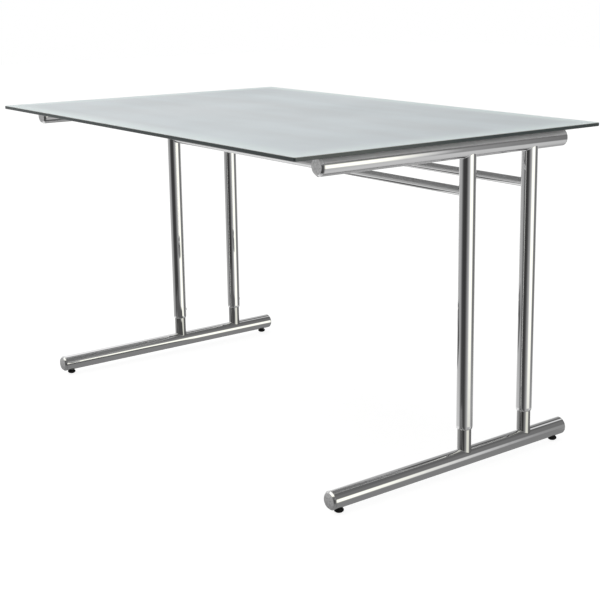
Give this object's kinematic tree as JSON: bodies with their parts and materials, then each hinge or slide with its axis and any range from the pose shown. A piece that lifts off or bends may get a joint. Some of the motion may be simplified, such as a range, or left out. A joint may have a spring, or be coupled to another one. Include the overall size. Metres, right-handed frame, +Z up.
{
  "type": "drafting table",
  "caption": "Rectangular satin glass work table on chrome T-foot leg frames with telescopic columns, cross tubes and levelling glides.",
  "frame": {"origin": "on the floor, under the middle of the glass top", "axes": "+X to the seated user's right along the glass, +Y away from the user, who sits on the -Y side, +Z up"},
  "size_m": [1.2, 0.8, 0.7],
  "materials": {
    "satin_glass": "satin-etched toughened safety glass, ground edge",
    "chrome": "polished chrome plate on steel tube",
    "satin_steel": "satin turned face, bright bevel",
    "zinc_steel": "bright zinc-plated steel",
    "black_plastic": "moulded, lightly textured",
    "grey_plastic": "moulded acetal",
    "clear_pad": "clear soft elastomer"
  },
  "bodies": {
    "left_base": {"foot_tube_left": "chrome", "foot_cap_left_front": "satin_steel", "foot_cap_left_rear": "satin_steel", "inner_tube_left_front": "chrome", "inner_tube_left_rear": "chrome", "tube_guide_left_front": "grey_plastic", "tube_guide_left_rear": "grey_plastic", "glide_insert_left_front": "zinc_steel", "glide_insert_left_rear": "zinc_steel"},
    "right_base": {"foot_tube_right": "chrome", "foot_cap_right_front": "satin_steel", "foot_cap_right_rear": "satin_steel", "inner_tube_right_front": "chrome", "inner_tube_right_rear": "chrome", "tube_guide_right_front": "grey_plastic", "tube_guide_right_rear": "grey_plastic", "glide_insert_right_front": "zinc_steel", "glide_insert_right_rear": "zinc_steel"},
    "top_frame": {"glass_top": "satin_glass", "glass_pad_left_front": "clear_pad", "glass_pad_left_rear": "clear_pad", "glass_pad_right_front": "clear_pad", "glass_pad_right_rear": "clear_pad", "rail_left": "chrome", "rail_right": "chrome", "rail_cap_left_front": "satin_steel", "rail_cap_left_rear": "satin_steel", "rail_cap_right_front": "satin_steel", "rail_cap_right_rear": "satin_steel", "column_sleeve_left_front": "chrome", "column_sleeve_left_rear": "chrome", "column_sleeve_right_front": "chrome", "column_sleeve_right_rear": "chrome", "guide_bush_left_front": "grey_plastic", "guide_bush_left_rear": "grey_plastic", "guide_bush_right_front": "grey_plastic", "guide_bush_right_rear": "grey_plastic", "cross_tube_front": "chrome", "cross_tube_rear": "chrome", "cross_spigot_left_front": "zinc_steel", "cross_spigot_left_rear": "zinc_steel", "cross_spigot_right_front": "zinc_steel", "cross_spigot_right_rear": "zinc_steel", "cross_screw_left_front": "zinc_steel", "cross_screw_left_rear": "zinc_steel", "cross_screw_right_front": "zinc_steel", "cross_screw_right_rear": "zinc_steel"},
    "glide_left_front": {"glide_pad_left_front": "black_plastic", "glide_stud_left_front": "zinc_steel"},
    "clamp_left_front": {"clamp_screw_left_front": "zinc_steel"},
    "glide_left_rear": {"glide_pad_left_rear": "black_plastic", "glide_stud_left_rear": "zinc_steel"},
    "clamp_left_rear": {"clamp_screw_left_rear": "zinc_steel"},
    "glide_right_front": {"glide_pad_right_front": "black_plastic", "glide_stud_right_front": "zinc_steel"},
    "clamp_right_front": {"clamp_screw_right_front": "zinc_steel"},
    "glide_right_rear": {"glide_pad_right_rear": "black_plastic", "glide_stud_right_rear": "zinc_steel"},
    "clamp_right_rear": {"clamp_screw_right_rear": "zinc_steel"}
  },
  "joints": [
    {"name": "left_leg_height", "type": "slide", "parent": "left_base", "child": "top_frame", "axis": [0, 0, 1], "range_m": [-0.02, 0.12]},
    {"name": "right_leg_height", "type": "slide", "parent": "top_frame", "child": "right_base", "axis": [0, 0, -1], "range_m": [-0.02, 0.12]},
    {"name": "glide_left_front_travel", "type": "slide", "parent": "left_base", "child": "glide_left_front", "axis": [0, 0, -1], "range_m": [0, 0.01]},
    {"name": "glide_left_rear_travel", "type": "slide", "parent": "left_base", "child": "glide_left_rear", "axis": [0, 0, -1], "range_m": [0, 0.01]},
    {"name": "glide_right_front_travel", "type": "slide", "parent": "right_base", "child": "glide_right_front", "axis": [0, 0, -1], "range_m": [0, 0.01]},
    {"name": "glide_right_rear_travel", "type": "slide", "parent": "right_base", "child": "glide_right_rear", "axis": [0, 0, -1], "range_m": [0, 0.01]},
    {"name": "clamp_left_front_turn", "type": "hinge", "parent": "top_frame", "child": "clamp_left_front", "pos_m": [-0.561, 0.0689, 0.112], "axis": [0, 1, 0], "range_deg": [0, 720]},
    {"name": "clamp_left_rear_turn", "type": "hinge", "parent": "top_frame", "child": "clamp_left_rear", "pos_m": [-0.561, 0.2454, 0.112], "axis": [0, 1, 0], "range_deg": [0, 720]},
    {"name": "clamp_right_front_turn", "type": "hinge", "parent": "top_frame", "child": "clamp_right_front", "pos_m": [0.561, 0.0689, 0.112], "axis": [0, 1, 0], "range_deg": [0, 720]},
    {"name": "clamp_right_rear_turn", "type": "hinge", "parent": "top_frame", "child": "clamp_right_rear", "pos_m": [0.561, 0.2454, 0.112], "axis": [0, 1, 0], "range_deg": [0, 720]}
  ],
  "couplings": [
    {"joint": "right_leg_height", "follows": "left_leg_height", "ratio": 1}
  ]
}
